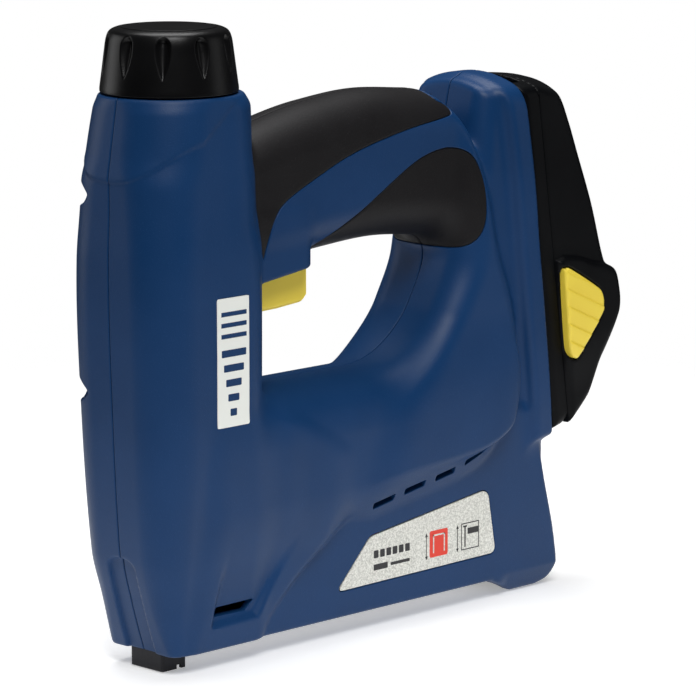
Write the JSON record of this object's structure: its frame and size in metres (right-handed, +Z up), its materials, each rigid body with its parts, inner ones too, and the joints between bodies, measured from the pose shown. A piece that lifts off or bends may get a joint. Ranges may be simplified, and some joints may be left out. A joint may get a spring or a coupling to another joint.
{
  "type": "cordless staple gun",
  "caption": "Battery staple gun with a spring hammer, lifting gears, round power knob, yellow trigger, bottom rail magazine and a slide-off battery pack.",
  "frame": {"origin": "on the plane the tool stands on, under the middle of the nose foot's front lip; the hammer axis is the line X = 0, and the knob turns about it", "axes": "+X from the nose back to the battery, +Z up along the hammer axis, -Y is the left side of the tool"},
  "size_m": [0.2558, 0.056, 0.2336],
  "materials": {
    "blue_plastic": "grained satin",
    "grip_rubber": "matte, over-moulded",
    "label_foil": "silver foil label",
    "badge_white": "smooth",
    "steel": "brushed",
    "black_steel": "blackened",
    "cast_zinc": "cast",
    "bumper_rubber": "matte",
    "spring_steel": "drawn wire",
    "gear_steel": "cut and oiled",
    "black_plastic": "satin",
    "yellow_plastic": "satin",
    "circuit_board": "solder mask",
    "contact_brass": "tinned",
    "cell_wrap": "shrink wrap"
  },
  "bodies": {
    "frame": {"left_housing": "blue_plastic", "right_housing": "blue_plastic", "upper_grip_left": "grip_rubber", "upper_grip_right": "grip_rubber", "lower_grip_left": "grip_rubber", "lower_grip_right": "grip_rubber", "label_left": "label_foil", "label_right": "label_foil", "badge_left": "badge_white", "badge_right": "badge_white", "housing_screws": "steel", "guide_rods": "steel", "lower_bracket": "steel", "upper_bracket": "steel", "hammer_bumper": "bumper_rubber", "main_spring": "spring_steel", "nose_guide": "steel", "foot_springs": "spring_steel", "gear_axles": "steel", "gear_plate": "steel", "motor_can": "steel", "motor_end_cap": "black_plastic", "trigger_pin": "steel", "trigger_spring": "spring_steel", "trigger_switch": "black_plastic", "magazine_channel": "steel", "control_board": "circuit_board", "terminal_block": "black_plastic", "terminal_blades": "contact_brass"},
    "knob": {"power_knob": "black_plastic", "adjuster_screw": "steel"},
    "seat": {"spring_seat": "cast_zinc"},
    "hammer": {"hammer": "steel", "driver_blade": "steel"},
    "foot": {"contact_foot": "black_steel"},
    "cam": {"cam_wheel": "gear_steel", "lift_rollers": "gear_steel"},
    "reduction": {"reduction_gear": "gear_steel"},
    "pinion": {"motor_pinion": "gear_steel"},
    "trigger": {"trigger": "yellow_plastic"},
    "rail": {"magazine_rail": "steel", "rail_end_cap": "black_plastic", "pusher_spring": "spring_steel"},
    "pusher": {"staple_pusher": "steel"},
    "latch": {"rail_latch": "black_plastic"},
    "battery": {"battery_front": "black_plastic", "battery_rear": "black_plastic", "battery_cells": "cell_wrap", "battery_board": "circuit_board", "battery_contacts": "contact_brass"},
    "release_left": {"release_left": "yellow_plastic"},
    "release_right": {"release_right": "yellow_plastic"}
  },
  "joints": [
    {"name": "knob_turn", "type": "hinge", "parent": "frame", "child": "knob", "pos_m": [0, 0, 0.22], "axis": [0, 0, 1], "range_deg": [0, 300]},
    {"name": "seat_slide", "type": "slide", "parent": "frame", "child": "seat", "axis": [0, 0, -1], "range_m": [0, 0.0034]},
    {"name": "hammer_lift", "type": "slide", "parent": "frame", "child": "hammer", "axis": [0, 0, 1], "range_m": [0, 0.022], "stiffness_N_per_m": 1500, "springref_m": -0.02, "deforming": ["main_spring"]},
    {"name": "foot_press", "type": "slide", "parent": "frame", "child": "foot", "axis": [0, 0, 1], "range_m": [0, 0.003], "stiffness_N_per_m": 1000, "springref_m": -0.014, "deforming": ["foot_springs"]},
    {"name": "cam_spin", "type": "hinge", "parent": "frame", "child": "cam", "pos_m": [0.027, 0, 0.074], "axis": [1, 0, 0], "continuous": true},
    {"name": "reduction_spin", "type": "hinge", "parent": "frame", "child": "reduction", "pos_m": [0.03, 0, 0.05], "axis": [1, 0, 0], "continuous": true},
    {"name": "pinion_spin", "type": "hinge", "parent": "frame", "child": "pinion", "pos_m": [0.035, 0, 0.066], "axis": [1, 0, 0], "continuous": true},
    {"name": "trigger_pull", "type": "hinge", "parent": "frame", "child": "trigger", "pos_m": [0.037, 0, 0.146], "axis": [0, -1, 0], "range_deg": [0, 8], "stiffness_Nm_per_rad": 0.4, "springref_deg": -11.46, "deforming": ["trigger_spring"]},
    {"name": "rail_slide", "type": "slide", "parent": "frame", "child": "rail", "axis": [1, 0, 0], "range_m": [0, 0.095]},
    {"name": "pusher_slide", "type": "slide", "parent": "rail", "child": "pusher", "axis": [1, 0, 0], "range_m": [0, 0.085], "stiffness_N_per_m": 25, "springref_m": -0.08, "deforming": ["pusher_spring"]},
    {"name": "latch_lift", "type": "hinge", "parent": "rail", "child": "latch", "pos_m": [0.176, 0, 0.0186], "axis": [0, -1, 0], "range_deg": [0, 6], "stiffness_Nm_per_rad": 0.05, "springref_deg": -11.46},
    {"name": "battery_slide", "type": "slide", "parent": "frame", "child": "battery", "axis": [0.1441, 0, -0.9896], "range_m": [0, 0.034]},
    {"name": "release_left_press", "type": "slide", "parent": "battery", "child": "release_left", "axis": [0, 1, 0], "range_m": [0, 0.0025], "stiffness_N_per_m": 300, "springref_m": -0.003},
    {"name": "release_right_press", "type": "slide", "parent": "battery", "child": "release_right", "axis": [0, -1, 0], "range_m": [0, 0.0025], "stiffness_N_per_m": 300, "springref_m": -0.003}
  ],
  "couplings": [
    {"joint": "seat_slide", "follows": "knob_turn", "m_per_rad": 0.00063662},
    {"joint": "reduction_spin", "follows": "cam_spin", "ratio": -3},
    {"joint": "pinion_spin", "follows": "cam_spin", "ratio": 9}
  ]
}
